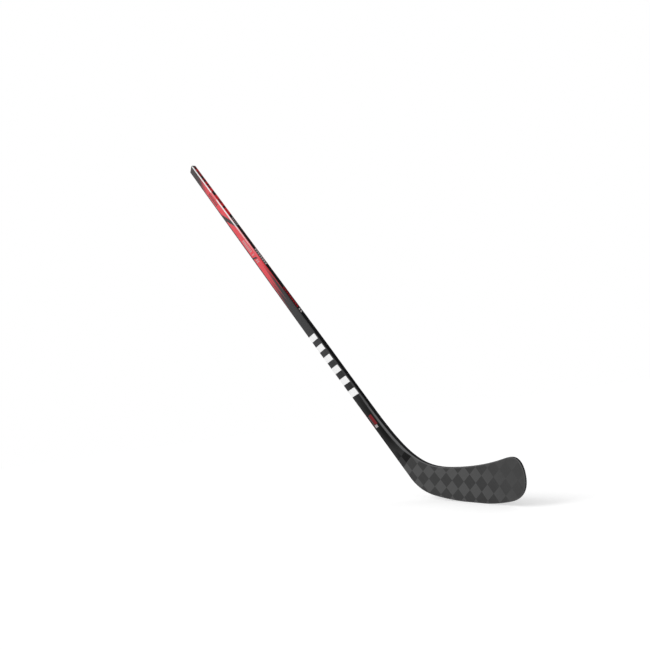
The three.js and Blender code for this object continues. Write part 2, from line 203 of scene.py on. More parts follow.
def inward(points):
    """The outline's inward direction at each of its points."""
    along = np.gradient(points, axis=0)
    along /= np.linalg.norm(along, axis=1)[:, None]
    return np.stack([-along[:, 1], along[:, 0]], axis=1)


outline = blade_outline()
inwards = inward(outline)


def centreline(count=400, past_joint=60):
    """Distances, points and directions along neck and blade, from above the joint to the toe."""
    blade_way = (TOE_TIP - BLADE_LINE) / np.linalg.norm(TOE_TIP - BLADE_LINE)
    corner = meet(on_shaft(0), up, BLADE_LINE, blade_way)
    line = np.vstack([
        bezier(on_shaft(JOINT_AT + past_joint), on_shaft(BEND_TOP_AT)),
        bezier(on_shaft(BEND_TOP_AT), corner, BLADE_LINE),
        bezier(BLADE_LINE, TOE_TIP),
    ])
    line = even_steps(line, np.linalg.norm(np.diff(line, axis=0), axis=1).sum() / count)
    way = np.gradient(line, axis=0)
    way /= np.linalg.norm(way, axis=1)[:, None]
    run = np.linalg.norm(np.diff(line, axis=0), axis=1)
    distance = JOINT_AT + past_joint - np.concatenate([[0], np.cumsum(run)])
    return distance, line, way


line_at, line_point, line_way = centreline()


def place_along(points):
    """How far along the centreline each point (x, z) lies."""
    nearest = np.argmin(np.linalg.norm(points[:, None] - line_point[None], axis=2), axis=1)
    past = ((points - line_point[nearest]) * line_way[nearest]).sum(axis=1)
    return line_at[nearest] - past


def thickness(at):
    return np.interp(at, *zip(*THICKNESS))


def rounding(at):
    return np.minimum(CORNER_RADIUS, EDGE_ROUND * thickness(at))


def skin(at):
    """Thickness of a face, which grows smoothly from the blade into the neck."""
    share = np.clip(np.asarray(at) / SKIN_NECK_AT, 0, 1)
    return SKIN_BLADE + (SKIN_NECK - SKIN_BLADE) * share**2 * (3 - 2 * share)


def curve(points):
    """How far the blade's middle surface stands from the shaft's middle plane."""
    past = np.maximum(0, points[..., 0] - HOOK_START)
    lean = tan(FACE_OPEN) * past / (TOE_TIP[0] - HOOK_START)
    return -(past**2) / (2 * HOOK_RADIUS) + lean * (points[..., 1] - FACE_HINGE_Z)


def in_space(points, depth):
    """Points (x, z) of the blade's plane, put `depth` behind the blade's curved middle surface."""
    return np.stack([points[..., 0], SHAFT_Y + curve(points) + depth, points[..., 1]], axis=-1)


# ---- Meshes ----


def make_piece(name, points, faces, nodes, from_top=None):
    """A smooth piece from points in millimetres, which rides on the body and replaces CAD nodes.

    from_top tells the material how far each point lies from the neck's and blade's top outline.
    """
    mesh = bpy.data.meshes.new(name)
    mesh.from_pydata((np.asarray(points) * MM).tolist(), [], faces)
    if from_top is not None:
        attribute = mesh.attributes.new("from_top", "FLOAT", "POINT")
        attribute.data.foreach_set("value", from_top.ravel())
    mesh.validate()
    mesh.shade_smooth()
    mesh.set_sharp_from_angle(angle=SHARP_FROM)
    piece = bpy.data.objects.new(name, mesh)
    bpy.context.scene.collection.objects.link(piece)
    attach(piece, "root")
    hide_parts(*nodes)
    return piece


def ring_faces(rings, count, closed=False):
    """Quads between rings of points, and a cap at each end unless the last ring meets the first.

    Faces look outwards when each ring turns anticlockwise, seen from the ring before it.
    """
    faces = []
    for i in range(rings if closed else rings - 1):
        a, b = i * count, (i + 1) % rings * count
        for j in range(count):
            k = (j + 1) % count
            faces.append((a + j, b + j, b + k, a + k))
    if not closed:
        faces.append(tuple(range(count)))
        faces.append(tuple(reversed(range((rings - 1) * count, rings * count))))
    return faces


def rounded_rectangle(half, deep, radius):
    """Points round a section of the shaft, across and through it."""
    turns = np.linspace(0, pi / 2, CORNER_STEPS + 1)
    corners = [(-1, -1, pi), (1, -1, 1.5 * pi), (1, 1, 0), (-1, 1, 0.5 * pi)]
    return np.vstack([
        np.stack([
            a * (half - radius) + radius * np.cos(start + turns),
            b * (deep - radius) + radius * np.sin(start + turns),
        ], axis=1)
        for a, b, start in corners
    ])


def shaft_ring(at, inset=0):
    """The shaft's section at a distance from the ice, moved inwards."""
    half, deep = SHAFT_WIDTH / 2 - inset, thickness(at) / 2 - inset
    section = rounded_rectangle(half, deep, max(LEAST_ROUND, rounding(at) - inset))
    flat = on_shaft(at) + section[:, :1] * across
    return np.stack([flat[:, 0], SHAFT_Y + section[:, 1], flat[:, 1]], axis=1)


def lofted(name, sections, nodes, closed=False):
    """A piece through shaft sections, each given as its distance from the ice and its inset."""
    rings = [shaft_ring(at, inset) for at, inset in sections]
    faces = ring_faces(len(rings), len(rings[0]), closed)
    return make_piece(name, np.vstack(rings), faces, nodes)


def make_shaft():
    """The tube: down its outside and back up its bore."""
    top = SHAFT_LENGTH - CAP_FLANGE
    places = np.linspace(top, JOINT_AT, int((top - JOINT_AT) / SHAFT_STEP))
    outside = [(at, 0) for at in places]
    inside = [(at, SHAFT_WALL) for at in places[::-1]]
    return lofted("shaft", outside + inside, ["shaft_tube"], closed=True)


def make_cap():
    """The plug: its end face, the flange, the stem with its grip rings, and the stem's hollow.

    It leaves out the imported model's two webs across that hollow.
    """
    foot = SHAFT_LENGTH - CAP_FLANGE
    rim = [
        (SHAFT_LENGTH - CAP_EDGE * (1 - sin(turn)), CAP_EDGE * (1 - cos(turn)))
        for turn in np.linspace(pi / 2, 0, RIM_STEPS + 1)
    ]
    recess = SHAFT_LENGTH - CAP_RECESS
    slope_foot = (recess, CAP_RECESS_RIM + CAP_RECESS_SLOPE)
    face = [(recess, CAP_MIDDLE), slope_foot, (SHAFT_LENGTH, CAP_RECESS_RIM)]
    bore = SHAFT_WALL + CAP_FIT
    end = foot - CAP_STEM
    stem = [(foot, 0), (foot, bore)]
    for at in np.linspace(foot - CAP_BARB_MARGIN, end + CAP_BARB_MARGIN, CAP_BARBS):
        peak = (at + CAP_BARB_PEAK, bore - CAP_BARB)
        stem += [(at + CAP_BARB_HALF, bore), peak, (at - CAP_BARB_HALF, bore)]
    bevel, depth = CAP_LEAD_IN
    stem += [(end + bevel, bore), (end, bore + depth), (end, bore + CAP_STEM_WALL)]
    stem += [(foot - CAP_FLOOR, bore + CAP_STEM_WALL)]
    return lofted("butt_plug", face + rim + stem, ["butt_cap"])


def make_rail(name, first, last, node, at_top):
    """One length of the edge band: a rounded section swept along the outline."""
    points, ways = outline[first:last], inwards[first:last]
    at = place_along(points + ways * RAIL_WIDTH / 2)
    turns = np.linspace(0, pi / 2, CORNER_STEPS + 1)
    rings, from_top = [], []
    for point, way, deep, radius in zip(points, ways, thickness(at) / 2, rounding(at)):
        inset = np.concatenate([[RAIL_WIDTH], radius * (1 - np.sin(turns))])
        depth = np.concatenate([[deep], deep - radius * (1 - np.cos(turns))])
        inset = np.concatenate([inset, inset[::-1]])
        depth = np.concatenate([depth, -depth[::-1]])
        rings.append(in_space(point + inset[:, None] * way, depth))
        from_top.append(inset if at_top else inset + SHAFT_WIDTH)
    faces = ring_faces(len(rings), len(rings[0]))
    return make_piece(name, np.vstack(rings), faces, [node], np.hstack(from_top))


def make_rails():
    """The edge band's three lengths, which are parted where the outline passes RAIL_SPLIT_X."""
    below = np.argmax(outline[:, 0] > RAIL_SPLIT_X)
    beyond = len(outline) - np.argmax(outline[::-1, 0] > RAIL_SPLIT_X)
    return [
        make_rail("sole_edge", 0, below + 1, "sole_rail", False),
        make_rail("toe_edge", below, beyond, "toe_rail", False),
        make_rail("top_edge", beyond - 1, len(outline), "top_rail", True),
    ]


def reach(border, point, top, least_slant=1e-9, slack=1e-4):
    """How far a section through a point reaches each way before it meets the border."""
    edge, gap = np.diff(border, axis=0), border[:-1] - point
    slant = cross(top, edge)
    slant[abs(slant) < least_slant] = least_slant
    share, distance = cross(gap, top) / slant, cross(gap, edge) / slant
    hits = np.sort(distance[(share >= -slack) & (share < 1)])
    above = np.clip(np.searchsorted(hits, 0), 1, len(hits) - 1)
    return hits[above - 1], hits[above]


def skin_grid():
    """Points (x, z) over the face inside the edge band, and how far each is from the top edge."""
    inset = RAIL_WIDTH + SKIN_GAP
    border = outline + inwards * inset
    end = place_along(border).min() + SKIN_END
    places = end + (JOINT_AT - end) * np.linspace(1, 0, SKIN_ROWS) ** SKIN_CROWDING
    spread = (1 - np.cos(np.linspace(0, pi, SKIN_COLUMNS))) / 2
    rows, from_top = [], []
    for at in places:
        point = np.array([np.interp(-at, -line_at, line_point[:, k]) for k in (0, 1)])
        way = np.array([np.interp(-at, -line_at, line_way[:, k]) for k in (0, 1)])
        top = np.array([-way[1], way[0]])
        low, high = reach(border, point, top)
        rows.append(point + (low + (high - low) * spread)[:, None] * top)
        from_top.append((high - low) * (1 - spread) + inset)
    return np.array(rows), np.array(from_top)


def slab(name, front, back, nodes, from_top):
    """A closed sheet between two grids of points, the front one and the one behind it."""
    rows, columns = front.shape[:2]
    shift = rows * columns
    index = np.arange(shift).reshape(rows, columns)
    faces = []
    for i in range(rows - 1):
        for j in range(columns - 1):
            quad = (index[i, j], index[i + 1, j], index[i + 1, j + 1], index[i, j + 1])
            faces.append(tuple(int(v) for v in quad))
            faces.append(tuple(int(v) + shift for v in quad[::-1]))
    rim = [*index[0], *index[1:, -1], *index[-1, -2::-1], *index[-2:0:-1, 0]]
    for a, b in zip(rim, rim[1:] + rim[:1]):
        faces.append((int(a), int(b), int(b) + shift, int(a) + shift))
    points = np.vstack([front.reshape(-1, 3), back.reshape(-1, 3)])
    return make_piece(name, points, faces, nodes, np.stack([from_top, from_top]))


def make_skins():
    """The two faces, which follow the blade's curve at their own depth."""
    grid, from_top = skin_grid()
    at = place_along(grid.reshape(-1, 2)).reshape(grid.shape[:2])
    outside, inside = thickness(at) / 2, thickness(at) / 2 - skin(at)
    forehand = in_space(grid, -outside), in_space(grid, -inside)
    backhand = in_space(grid, inside), in_space(grid, outside)
    return [
        slab("forehand", *forehand, ["forehand_skin"], from_top),
        slab("backhand", *backhand, ["backhand_skin"], from_top),
    ]


# ---- Materials ----


class Field:
    """A value or colour in a material's node tree, with arithmetic."""

    def __init__(self, tree, socket):
        self.tree = tree
        self.socket = socket

    def node(self, kind, values, **settings):
        """Adds a node, sets its properties, fills its inputs by place or name, and returns it."""
        node = self.tree.nodes.new("ShaderNode" + kind)
        for name, value in settings.items():
            setattr(node, name, value)
        for name, value in values.items():
            if isinstance(value, Field):
                self.tree.links.new(value.socket, node.inputs[name])
            else:
                node.inputs[name].default_value = value
        return node

    def math(self, operation, *others):
        node = self.node("Math", dict(enumerate((self, *others))), operation=operation)
        return Field(self.tree, node.outputs[0])

    def __add__(self, other):
        return self.math("ADD", other)

    def __sub__(self, other):
        return self.math("SUBTRACT", other)

    def __mul__(self, other):
        return self.math("MULTIPLY", other)

    def __neg__(self):
        return self.math("MULTIPLY", -1.0)

    def size(self):
        return self.math("ABSOLUTE")

    def most(self, other):
        return self.math("MAXIMUM", other)

    def least(self, other):
        return self.math("MINIMUM", other)

    def without(self, other):
        """This mask, less where the other one is."""
        return self * (-other + 1.0)

    def rise(self, low, high, start=0.0, end=1.0):
        """A smooth step from start to end between two values."""
        values = {"Value": self, 1: low, 2: high, 3: start, 4: end}
        node = self.node("MapRange", values, interpolation_type="SMOOTHSTEP")
        return Field(self.tree, node.outputs[0])

    def band(self, low, high, soft):
        """1 between two values and 0 outside them, over soft edges."""
        begun = self.rise(low - soft / 2, low + soft / 2)
        return begun * self.rise(high - soft / 2, high + soft / 2, 1.0, 0.0)

    def dot(self, direction):
        """This vector's length along a direction."""
        node = self.node("VectorMath", {0: self, 1: tuple(direction)}, operation="DOT_PRODUCT")
        return Field(self.tree, node.outputs["Value"])

    def join(self, x, y, z):
        """A vector from three values."""
        return Field(self.tree, self.node("CombineXYZ", {0: x, 1: y, 2: z}).outputs[0])

    def noise(self, lengths, detail=2.0, turn=0.0):
        """Noise over a vector, whose lumps have three lengths, turned about Y."""
        values = {"Vector": self, "Scale": tuple(lengths), "Rotation": (0, turn, 0)}
        mapped = Field(self.tree, self.node("Mapping", values, vector_type="TEXTURE").outputs[0])
        values = {"Vector": mapped, "Scale": 1.0, "Detail": detail}
        return Field(self.tree, self.node("TexNoise", values).outputs[0])

    def over(self, share, color):
        """This colour with another one laid over it by a mask."""
        node = self.node("Mix", {}, data_type="RGBA")
        for place, value in ((0, share), (6, self), (7, color)):
            if isinstance(value, Field):
                self.tree.links.new(value.socket, node.inputs[place])
            else:
                node.inputs[place].default_value = (*value, 1) if place else value
        return Field(self.tree, node.outputs[2])


class Material:
    """A Principled material, whose node tree is built from fields."""

    def __init__(self, name, **constants):
        self.data = bpy.data.materials.new(name)
        self.data.use_nodes = True
        self.tree = self.data.node_tree
        self.shader = self.tree.nodes["Principled BSDF"]
        for socket, value in constants.items():
            self.shader.inputs[socket.replace("_", " ")].default_value = value
        place = self.tree.nodes.new("ShaderNodeTexCoord")
        self.place = Field(self.tree, place.outputs["Object"])
        normal = self.tree.nodes.new("ShaderNodeNewGeometry")
        self.normal = Field(self.tree, normal.outputs["Normal"])

    def plain(self, color):
        """A colour to lay others over."""
        node = self.tree.nodes.new("ShaderNodeRGB")
        node.outputs[0].default_value = (*color, 1)
        return Field(self.tree, node.outputs[0])

    def feed(self, socket, field):
        """Links a field to one of the shader's inputs."""
        self.tree.links.new(field.socket, self.shader.inputs[socket])

    def bump(self, height, distance, strength):
        """Tilts the surface by a height field, whose full height is `distance` millimetres."""
        values = {"Height": height, "Distance": distance * MM, "Strength": strength}
        self.feed("Normal", Field(self.tree, self.place.node("Bump", values).outputs[0]))


BLACK = (0.048, 0.048, 0.049)
# Painted reflection: the deep black beside the neck's highlight
REFLECTION_BLACK = (0.0015, 0.0015, 0.0015)
# Painted shade: a darker copy of the black paint, for the narrow sides and the blade's edges
SHADED_SIDE_BLACK = (0.004, 0.004, 0.0045)
CHARCOAL = (0.06, 0.05, 0.051)
RED = (0.76, 0.087, 0.106)
DEEP_RED = (0.5, 0.006, 0.014)
DARK_RED = (0.2, 0.016, 0.021)
WHITE = (0.92, 0.92, 0.92)
SILVER = (0.46, 0.42, 0.42)
GLINT = (0.115, 0.115, 0.117)  # a painted highlight, where the clear coat catches the light

MM_PER_METRE = 1000.0
TOEWARDS, BACKWARDS, UPWARDS = (1, 0, 0), (0, 1, 0), (0, 0, 1)
# How squarely a surface faces one way: where it starts to count, and where it counts in full
FACES_WIDE = (0.86, 0.95)
FACES_ROUNDED = (0.35, 0.45)  # the wide faces with part of their corners
FACES_NARROW = (0.82, 0.95)
FACES_BACK = (0.0, 0.05)
HEEL_EDGE = (-8.2, -7.4)  # across the shaft, where the heel side's black edge ends


class Wrap:
    """Where a point lies on the stick, in millimetres, and which way the surface faces there."""

    def __init__(self, material):
        place = material.place
        self.below = place.dot(-UP) * MM_PER_METRE + float(BUTT @ UP)  # below the butt end
        self.side = place.dot(ACROSS) * MM_PER_METRE - float(BUTT @ ACROSS)  # across the shaft
        self.depth = place.dot(BACKWARDS) * MM_PER_METRE - float(SHAFT_Y)
        self.x = place.dot(TOEWARDS) * MM_PER_METRE
        self.z = place.dot(UPWARDS) * MM_PER_METRE
        self.length = place.join(self.below, self.side, self.depth)
        self.flat = material.normal.dot(BACKWARDS).size()  # 1 on the wide faces
        self.wide = self.flat.rise(*FACES_WIDE)
        self.rounded = self.flat.rise(*FACES_ROUNDED)
        self.narrow = material.normal.dot(ACROSS).size().rise(*FACES_NARROW)
        self.corner = self.wide.most(self.narrow) * -1.0 + 1.0
        self.back = material.normal.dot(BACKWARDS).rise(*FACES_BACK)
        self.heel_edge = self.side.rise(*HEEL_EDGE, 1.0, 0.0)


MARK_SOFT = 1.2  # width of a mark's soft edge


def bars(along, across, start, count, pitch, length, low, high):
    """A row of bars, which start at `start` and lie between two places across."""
    from_first = along - (start + length / 2)
    half, soft = length / 2, MARK_SOFT / 2
    bar = from_first.math("PINGPONG", pitch / 2).rise(half - soft, half + soft, 1.0, 0.0)
    row = from_first.band(-pitch / 2, (count - 0.5) * pitch, MARK_SOFT)
    return bar * row * across.band(low, high, MARK_SOFT)


# Plain marks on the wide faces: lean, start below the butt end, count, pitch, length, and their
# lowest and highest place across the face; then, where given, their colour and how much they cover
DARK_MARKS = (
    ((0.6, 197, 9, 9.3, 6.4, -3.8, 6.2), 0.85),
    ((1.25, 604, 1, 14, 8, -10, 8.5), 1.0),
)
LIGHT_MARKS = (
    ((-3.4, 344, 1, 8, 4, -2, 10), 0.3),
    ((0.8, 509, 8, 8.6, 5.4, -3.6, 7.5), 0.75),
    ((0.8, 588, 1, 8, 5, -3.6, 7.5), 0.75),
    ((0.8, 618, 2, 9, 5, -3.6, 7.5), 0.75),
)
WHITE_MARKS = (0.6, 985, 6, 41.5, 21, -16, 12.6)
NECK_MARKS = (
    ((0.5, 1279, 1, 60, 29, -4.6, 4.6), DARK_RED, 0.9),
    ((0.5, 1281, 9, 3.1, 1.8, -7.6, -5.6), SILVER, 0.35),
    ((0.5, 1309, 1, 18, 7.5, -7.4, 1.2), SILVER, 0.9),
)
HEEL_LINE = (1256, 1308, 4), (-12.8, -11.6, 0.8)  # a fine red line: along and across, with softness
HEEL_LINE_FACING, HEEL_LINE_COVER = (0.5, 0.6), 0.8
SLASH_TOP, SLASH_END = (354, 4.1), (398, 3.6)  # the slash's two edges: place and lean
SLASH_SOFT = 1  # half the width of their softness

# The red part. A range is where a change starts and ends, along the shaft unless it says across.
CHARCOAL_FADES = (300, 420)
RED_STARTS, RED_START_LEAN = (145, 245), 2.4
WISP, WISP_REACH = (90, 2.6, 6), 110.0  # lengths of the start's wisps, and how far they reach
RED_ENDS, RED_END_LEAN = (815, 950), 3.0
STREAK, STREAK_REACH = (230, 1.5, 7), 190.0  # the same for the streaks at its end
BLACK_TONGUE, BLACK_TONGUE_REACH = (-5, 1, 5), 40.0  # across, with softness
RED_TONGUE, RED_TONGUE_REACH = (5, 9, 4), 35.0
TOE_SIDE, TOE_SIDE_REACH = (1, 10), 80.0  # across: the red ends earlier towards the toe side
TOE_CORNER, TOE_CORNER_SHARE = (10, 14), 0.35  # and less so at the corner itself
DEEP_EDGE_ACROSS, DEEP_EDGE_ALONG, DEEP_EDGE_COVER = (11, 13.5), (590, 690), 0.7


def mark(wrap, lean, *row):
    """A row of bars on the wide faces, whose ends lean along the shaft."""
    return bars(wrap.below - wrap.side * lean, wrap.side, *row)


def fade_out(wrap):
    """Where the red has faded into the black of the lower shaft, in long tongues."""
    streak = wrap.length.noise(STREAK, detail=1.0)
    black_tongue = wrap.side.band(*BLACK_TONGUE) * BLACK_TONGUE_REACH
    tongues = black_tongue - wrap.side.band(*RED_TONGUE) * RED_TONGUE_REACH
    toe_side = wrap.side.rise(*TOE_SIDE) * wrap.side.rise(*TOE_CORNER, 1.0, TOE_CORNER_SHARE)
    along = wrap.below + wrap.side * RED_END_LEAN + toe_side * TOE_SIDE_REACH
    return (along + tongues + streak * STREAK_REACH).rise(*RED_ENDS)


def beyond(wrap, edge, start=0.0, end=1.0):
    """A firm step across one of the slash's edges."""
    place, lean = edge
    along = wrap.below - wrap.side * lean
    return along.rise(place - SLASH_SOFT, place + SLASH_SOFT, start, end)


def paint(material, wrap):
    """The stick's colour: a red upper shaft that fades into black, with plain marks."""
    wisp = wrap.length.noise(WISP, detail=1.0)
    red_from = (wrap.below + wrap.side * RED_START_LEAN + wisp * WISP_REACH).rise(*RED_STARTS)
    ended = fade_out(wrap)
    start_grey = wrap.below.rise(*CHARCOAL_FADES, 1.0, 0.0)
    color = material.plain(BLACK).over(start_grey, CHARCOAL)
    color = color.over(red_from.without(ended).without(wrap.heel_edge), RED)
    toe_edge = wrap.side.rise(*DEEP_EDGE_ACROSS) * wrap.below.rise(*DEEP_EDGE_ALONG)
    color = color.over(toe_edge.without(ended) * DEEP_EDGE_COVER, DEEP_RED)

    slash = beyond(wrap, SLASH_TOP) * beyond(wrap, SLASH_END, 1.0, 0.0)
    color = color.over(slash * wrap.rounded, CHARCOAL)
    for row, share in DARK_MARKS:
        color = color.over(mark(wrap, *row) * wrap.wide * share, CHARCOAL)
    for row, share in LIGHT_MARKS:
        color = color.over(mark(wrap, *row) * wrap.wide * share, SILVER)
    return color


def lower_marks(wrap, color):
    """White bars on the black part, and a small red block with light marks just above the neck."""
    color = color.over(mark(wrap, *WHITE_MARKS) * wrap.rounded, WHITE)
    for row, tone, share in NECK_MARKS:
        color = color.over(mark(wrap, *row) * wrap.wide * share, tone)
    along, across_face = HEEL_LINE
    heel_line = wrap.below.band(*along) * wrap.side.band(*across_face)
    return color.over(heel_line * wrap.flat.rise(*HEEL_LINE_FACING) * HEEL_LINE_COVER, DEEP_RED)


# The narrow sides' red blocks: start, end and strength, and their rows of small marks
SIDE_BLOCKS = (
    (12, 18, 0.35),
    (28, 50, 0.75),
    (55, 86, 0.4),
    (103, 117, 0.35),
    (130, 147, 0.85),
    (157, 167, 0.7),
    (177, 203, 0.9),
    (230, 260, 1),
    (262, 283, 0.4),
    (287, 307, 0.95),
    (322, 366, 1),
)
SIDE_LEAN, SIDE_BLOCK_SOFT = 0.9, 5
SIDE_MARKS = (
    ((386, 5, 10.5, 7, -3.5, 3.5), 0.4, SILVER),
    ((579, 8, 11.2, 7.5, -3.5, 3.5), 0.75, SILVER),
    ((785, 9, 10.8, 7.5, -3, 3), 0.5, DEEP_RED),
    ((886, 2, 10, 6, -3, 3), 0.8, SILVER),
)


def narrow_paint(wrap, color):
    """The narrow sides: a darker black as painted shade, red blocks near the butt, small plain
    marks further down.
    """
    leaning = wrap.below + wrap.depth * SIDE_LEAN
    for low, high, share in SIDE_BLOCKS:
        block = leaning.band(low, high, SIDE_BLOCK_SOFT)
        color = color.over(block * wrap.narrow * share, DEEP_RED)
    for row, share, tone in SIDE_MARKS:
        color = color.over(bars(leaning, wrap.depth, *row) * wrap.narrow * share, tone)
    return color


LINE_STARTS, LINE_THINS, LINE_THIN_COVER, LINE_ENDS = (0, 12), (390, 500), 0.45, (500, 640)
LINE_BREAK, LINE_BREAK_COVER = (208, 262, 6), 0.75


def corner_line(wrap, color):
    """A white line along the toe-side front corner of the red part, which thins out below."""
    thinning = wrap.below.rise(*LINE_THINS, 1.0, LINE_THIN_COVER)
    strength = thinning * wrap.below.rise(*LINE_ENDS, 1.0, 0.0) * wrap.below.rise(*LINE_STARTS)
    break_in_line = wrap.below.band(*LINE_BREAK) * LINE_BREAK_COVER
    toe_corner = wrap.corner * wrap.side.rise(0, 1)
    color = color.over(toe_corner * wrap.back, BLACK)
    return color.over(toe_corner.without(wrap.back) * strength.without(break_in_line), WHITE)


SMEAR, HAIR = (0.03, 0.03, 0.03), (0.02, 0.0005, 0.0005)  # lengths of smears and hairlines, in m
HAIR_TURN = -0.6
SMEAR_SHARE = 0.7
NOISE_RANGE = (0.3, 0.7)  # where nearly all of a noise's values lie
RIPPLE, RIPPLE_STRENGTH = 0.12, 0.06


def finish(material, low, high):
    """Uneven gloss with a faint ripple of the clear coat."""
    smear = material.place.noise(SMEAR, detail=4.0)
    hair = material.place.noise(HAIR, turn=HAIR_TURN)
    uneven = smear * SMEAR_SHARE + hair * (1 - SMEAR_SHARE)
    material.feed("Roughness", uneven.rise(*NOISE_RANGE, low, high))
    material.bump(smear, RIPPLE, RIPPLE_STRENGTH)


# The painted reflection and highlight at the neck. A range of four numbers ends with the two values
# that it goes between.
REFLECTION_DEEPENS, REFLECTION_EASES = (1010, 1335), (1345, 1420, 1.0, 0.45)
REFLECTION_ACROSS = (10, 27, 1.0, 0.62)  # by distance from the top outline
REFLECTION_FACING = (0.75, 0.95)
GLINT_STARTS = (1150, 1330)
GLINT_WIDENS, GLINT_NARROWS = (1200, 1360, 3.4, 6.0), (1400, 1440, 0.0, 3.0)
GLINT_EDGE = (0.75, 1.2)  # as a share of its width
GLINT_FACING = (0.45, 0.75)


def neck_painted_reflection(wrap, from_top, color, squares=0.0):
    """The lower shaft's painted reflection and highlight, and the marks that lie on it.

    A painted highlight runs along the toe-side corner, widens down to the blade and runs out
    along its top edge. Beside it lies a painted deep black reflection, in which some of the weave's
    squares show.
    """
    start = wrap.below.rise(*GLINT_STARTS)
    deepest = wrap.below.rise(*REFLECTION_DEEPENS) * wrap.below.rise(*REFLECTION_EASES)
    across_face = from_top.rise(*REFLECTION_ACROSS)
    # Painted dark reflection beside the corner
    dark = (deepest * across_face).most(squares) * wrap.flat.rise(*REFLECTION_FACING)
    color = color.over(dark, REFLECTION_BLACK)
    # Painted highlight band along the toe-side corner
    width = wrap.below.rise(*GLINT_WIDENS) - wrap.below.rise(*GLINT_NARROWS)
    share = from_top.math("DIVIDE", width)
    glint = share.rise(*GLINT_EDGE, 1.0, 0.0) * start * wrap.flat.rise(*GLINT_FACING)
    return lower_marks(wrap, color.over(glint, GLINT))


WIDE_ROUGHNESS, SIDE_ROUGHNESS = (0.3, 0.46), (0.25, 0.4)


def shaft_materials():
    """Paint for the shaft's wide faces and corners, and a darker black for its narrow sides as
    painted shade.
    """
    wide = Material("painted_laminate", Specular_IOR_Level=0.03)
    wrap = Wrap(wide)
    from_top = -wrap.side + SHAFT_WIDTH / 2
    # The neck's painted reflection and highlight lie over the paint
    wide.feed("Base Color", neck_painted_reflection(wrap, from_top, corner_line(wrap, paint(wide, wrap))))
    finish(wide, *WIDE_ROUGHNESS)
    narrow = Material("painted_side", Specular_IOR_Level=0.01)
    wrap = Wrap(narrow)
    # Painted shade: the narrow sides start from the darker black
    narrow.feed("Base Color", narrow_paint(wrap, narrow.plain(SHADED_SIDE_BLACK)))
    finish(narrow, *SIDE_ROUGHNESS)
    return wide.data, narrow.data


# The spread-tow weave: two sets of flat carbon tows that cross in a checker of leaning squares
TOW_CORNER = (-142.5, 55)  # a crossing of two tow edges
TOW_A, TOW_B = np.array([20, 13]), np.array([14.5, -14.5])  # along a square's two edges
TOW_EDGE = 0.03  # softness of a square's edge, as a share of its width
# Painted reflection: the checker's lighter tone stands in for the tows' sheen
WEAVE_DARK, WEAVE_REFLECTION_TONE = (0.033, 0.033, 0.033), (0.095, 0.095, 0.095)
NECK_PAINT_END = -2  # the tow edge at which the neck's paint and painted reflection end, in tows from that crossing
NECK_PAINT_SOFT = 0.08
NEAR_PAINT_END = (NECK_PAINT_END - 4, NECK_PAINT_END - 0.5)  # where dark squares come in
SQUARES_ACROSS = (20, 34, 0.9, 0.5)  # darker squares in the painted reflection, by distance from the outline

FIBRE = (0.05, 0.05, 0.0009)  # lengths of the grain, in metres
FIBRE_RANGE, FIBRE_COVER = (0.35, 0.75), 0.12
CONTRAST_LEAN, CONTRAST_FADES = 0.9, (35, 165, 1.0, 0.15)  # the painted reflection's contrast fades towards the toe
# The checker's painted contrast, and the blade's tone, which darkens towards the toe
CONTRAST, BLADE_TONE = 0.62, (-120, 150, 0.54, 0.36)
TOW_GAP = (0, 0.03)  # in tow widths from a tow's edge
WEAVE_ROUGHNESS, FIBRE_ROUGHNESS, GLOSS_ROUGHNESS = 0.42, 0.2, 0.4
GAP_HEIGHT, FIBRE_HEIGHT = 0.6, 0.4
WEAVE_RIPPLE, WEAVE_RIPPLE_STRENGTH = 0.05, 0.15

RIM_FACING = (0.4, 0.7)  # the blade's edge, painted a darker black as shade
EDGE_GLINT_FACING, EDGE_GLINT_COVER = (0.5, 0.945, 0.03), 0.9
TOE_LIGHT_X, TOE_LIGHT_Z = (60, 120), (54, 72)  # painted light: where the edge is a lighter black


def tow_squares(wrap):
    """A point's two places across the tows, in tow widths, and a mask of every other square."""
    area = float(cross(TOW_A, TOW_B))
    x, z = wrap.x - float(TOW_CORNER[0]), wrap.z - float(TOW_CORNER[1])
    first = x * float(TOW_B[1] / area) - z * float(TOW_B[0] / area)
    second = z * float(TOW_A[0] / area) - x * float(TOW_A[1] / area)

    def odd(place):
        return place.math("PINGPONG", 1.0).rise(0.5 - TOW_EDGE, 0.5 + TOW_EDGE, -1.0, 1.0)

    light = odd(first - 0.5) * odd(second - 0.5)
    return first, second, light.rise(-0.5, 0.5)


def weave(material, wrap):
    """Colour, grain and tow edges of the bare laminate, its checker of painted reflection, and the
    place across tows.
    """
    first, second, light = tow_squares(wrap)
    grain = []
    for tow in (TOW_A, TOW_B):
        turn = -float(np.arctan2(tow[1], tow[0]))
        grain.append(material.place.noise(FIBRE, turn=turn))
    fibre = grain[0] * light + grain[1] * (-light + 1.0)
    contrast = (wrap.x + wrap.z * CONTRAST_LEAN).rise(*CONTRAST_FADES)
    # The lighter squares are painted reflection of the tows' sheen
    tone = (light - 0.5) * contrast * CONTRAST + wrap.x.rise(*BLADE_TONE)
    color = material.plain(WEAVE_DARK).over(tone, WEAVE_REFLECTION_TONE)
    # Fine light streaks along the fibres, in the painted highlight's tone
    color = color.over(fibre.rise(*FIBRE_RANGE) * FIBRE_COVER, GLINT)
    gap = first.math("PINGPONG", 0.5).least(second.math("PINGPONG", 0.5)).rise(*TOW_GAP)
    return color, fibre, gap, light, second


